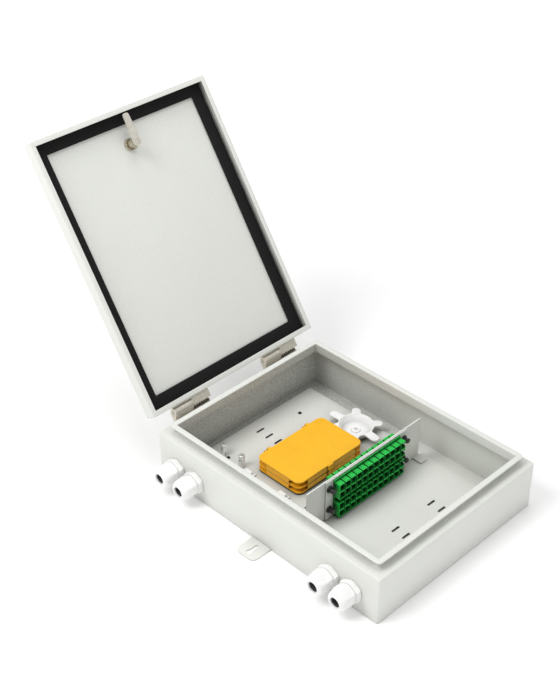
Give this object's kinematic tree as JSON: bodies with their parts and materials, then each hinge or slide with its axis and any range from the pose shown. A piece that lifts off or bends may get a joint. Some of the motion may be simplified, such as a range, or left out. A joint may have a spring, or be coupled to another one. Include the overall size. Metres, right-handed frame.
{
  "type": "fiber termination box",
  "caption": "Wall-mounted sheet-steel box with a hinged gasketed lid and cam lock, holding splice trays, a fibre spool and a bracket of duplex adapters, with cable glands.",
  "frame": {"origin": "middle of the enclosure's flat rear face, which lies against the wall", "axes": "+Z out of the opening, away from the wall; +X from the hinge side to the lock side; -Y the cable gland side"},
  "size_m": [0.6437, 0.3732, 0.4241],
  "materials": {
    "powder_coat": "fine-textured light grey powder coat",
    "zinc_plate": "zinc plated and die cast, dull",
    "gland_nylon": "moulded white nylon, satin",
    "gasket_foam": "foamed rubber, matte",
    "black_nylon": "moulded black nylon, satin",
    "adapter_green": "moulded green plastic, semi-gloss",
    "tray_orange": "moulded yellow-orange plastic, satin",
    "white_abs": "moulded white plastic, satin"
  },
  "bodies": {
    "box": {"enclosure": "powder_coat", "wall_lug_lower": "powder_coat", "wall_lug_upper": "powder_coat", "hinge_1_body_leaf": "zinc_plate", "hinge_1_pin": "zinc_plate", "hinge_2_body_leaf": "zinc_plate", "hinge_2_pin": "zinc_plate", "gland_body_1": "gland_nylon", "gland_body_2": "gland_nylon", "gland_body_3": "gland_nylon", "gland_body_4": "gland_nylon", "gland_locknut_1": "gland_nylon", "gland_locknut_2": "gland_nylon", "gland_locknut_3": "gland_nylon", "gland_locknut_4": "gland_nylon", "mounting_plate": "powder_coat", "plate_screw_1": "zinc_plate", "plate_screw_2": "zinc_plate", "plate_screw_3": "zinc_plate", "plate_screw_4": "zinc_plate", "strength_post_1": "zinc_plate", "strength_post_2": "zinc_plate", "tie_mount_1": "white_abs", "tie_mount_2": "white_abs", "fibre_spool": "white_abs", "spool_screw": "zinc_plate", "tray_pad": "gasket_foam", "splice_tray_lower": "tray_orange", "adapter_bracket": "powder_coat", "adapter_panel_lower": "powder_coat", "adapter_panel_upper": "powder_coat", "adapters_lower_1": "adapter_green", "adapters_lower_2": "adapter_green", "adapters_upper_1": "adapter_green", "adapters_upper_2": "adapter_green", "plunger_grommet_1": "black_nylon", "plunger_grommet_2": "black_nylon", "plunger_grommet_3": "black_nylon", "plunger_grommet_4": "black_nylon"},
    "lid": {"lid": "powder_coat", "lid_gasket": "gasket_foam", "hinge_1_lid_leaf": "zinc_plate", "hinge_2_lid_leaf": "zinc_plate", "lock_barrel": "zinc_plate", "lock_nut": "zinc_plate"},
    "cam": {"lock_cam": "zinc_plate", "lock_plug": "zinc_plate", "cam_screw": "zinc_plate"},
    "tray": {"splice_tray_upper": "tray_orange"},
    "cover": {"tray_cover": "tray_orange"},
    "cap_1": {"gland_cap_1": "gland_nylon"},
    "cap_2": {"gland_cap_2": "gland_nylon"},
    "cap_3": {"gland_cap_3": "gland_nylon"},
    "cap_4": {"gland_cap_4": "gland_nylon"},
    "plunger_1": {"plunger_pin_1": "black_nylon"},
    "plunger_2": {"plunger_pin_2": "black_nylon"},
    "plunger_3": {"plunger_pin_3": "black_nylon"},
    "plunger_4": {"plunger_pin_4": "black_nylon"}
  },
  "joints": [
    {"name": "lid_hinge", "type": "hinge", "parent": "box", "child": "lid", "pos_m": [-0.2088, 0, 0.0806], "axis": [0, -1, 0], "range_deg": [-123.8, 0]},
    {"name": "cam_turn", "type": "hinge", "parent": "lid", "child": "cam", "pos_m": [-0.39914, 0, 0.38327], "axis": [-0.831, 0, -0.5563], "range_deg": [0, 90]},
    {"name": "tray_hinge", "type": "hinge", "parent": "box", "child": "tray", "pos_m": [-0.1098, 0.0047, 0.0152], "axis": [0, -1, 0], "range_deg": [0, 65]},
    {"name": "cover_hinge", "type": "hinge", "parent": "tray", "child": "cover", "pos_m": [-0.1098, 0.0047, 0.0242], "axis": [0, -1, 0], "range_deg": [0, 50]},
    {"name": "cap_1_turn", "type": "hinge", "parent": "box", "child": "cap_1", "pos_m": [-0.1645, -0.15375, 0.0295], "axis": [0, -1, 0], "range_deg": [0, 300]},
    {"name": "cap_2_turn", "type": "hinge", "parent": "box", "child": "cap_2", "pos_m": [-0.127, -0.15375, 0.0295], "axis": [0, -1, 0], "range_deg": [0, 300]},
    {"name": "cap_3_turn", "type": "hinge", "parent": "box", "child": "cap_3", "pos_m": [0.121, -0.15375, 0.0295], "axis": [0, -1, 0], "range_deg": [0, 300]},
    {"name": "cap_4_turn", "type": "hinge", "parent": "box", "child": "cap_4", "pos_m": [0.158, -0.15375, 0.0295], "axis": [0, -1, 0], "range_deg": [0, 300]},
    {"name": "plunger_1_slide", "type": "slide", "parent": "box", "child": "plunger_1", "axis": [1, 0, 0], "range_m": [0, 0.004]},
    {"name": "plunger_2_slide", "type": "slide", "parent": "box", "child": "plunger_2", "axis": [1, 0, 0], "range_m": [0, 0.004]},
    {"name": "plunger_3_slide", "type": "slide", "parent": "box", "child": "plunger_3", "axis": [1, 0, 0], "range_m": [0, 0.004]},
    {"name": "plunger_4_slide", "type": "slide", "parent": "box", "child": "plunger_4", "axis": [1, 0, 0], "range_m": [0, 0.004]}
  ]
}
